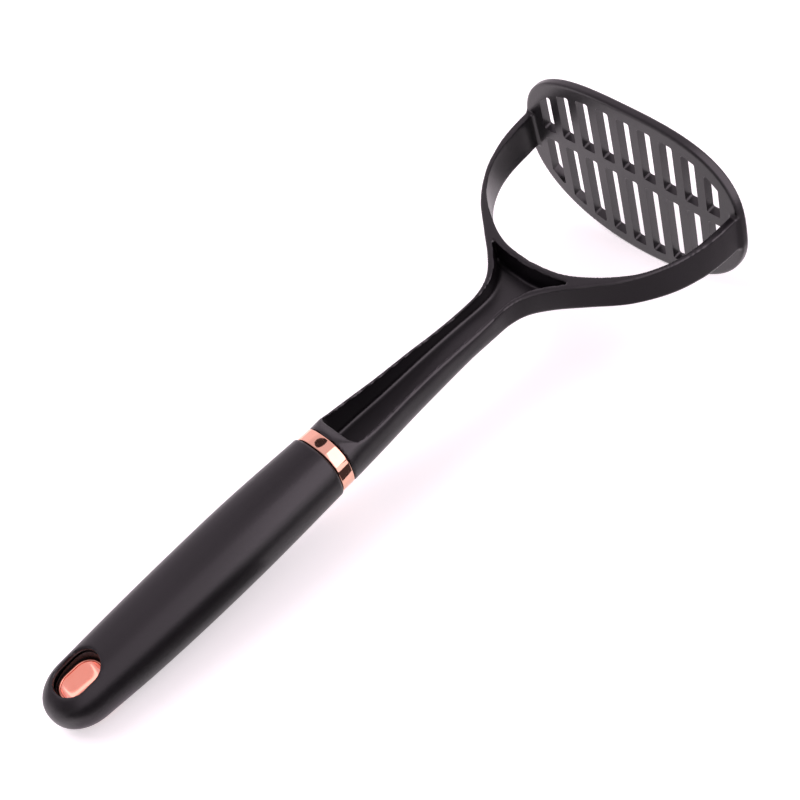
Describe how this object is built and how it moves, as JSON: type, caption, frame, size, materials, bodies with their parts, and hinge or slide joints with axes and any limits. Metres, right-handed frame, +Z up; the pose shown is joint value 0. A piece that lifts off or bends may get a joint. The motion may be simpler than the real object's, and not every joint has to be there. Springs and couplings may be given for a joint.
{
  "type": "potato masher",
  "caption": "Nylon potato masher: oval slotted plate on a hoop, channelled stem, rose-gold collar, soft-touch grip and lined hanging hole.",
  "frame": {"origin": "bottom centre of the bounding box, on the surface that the masher lies on", "axes": "+X from the hanging end towards the mashing plate, +Z up, as the tool lies on its plate rim and its grip"},
  "size_m": [0.2864, 0.102, 0.0742],
  "materials": {
    "black_nylon": "fine satin moulded nylon",
    "rose_gold_plating": "polished copper-coloured plating",
    "handle_polypropylene": "moulded black polypropylene",
    "soft_touch_black": "soft-touch matt rubber"
  },
  "bodies": {
    "root": {"masher_head": "black_nylon", "collar_ring": "rose_gold_plating", "handle_core": "handle_polypropylene", "grip_sleeve": "soft_touch_black", "hanging_liner": "rose_gold_plating"}
  },
  "joints": []
}
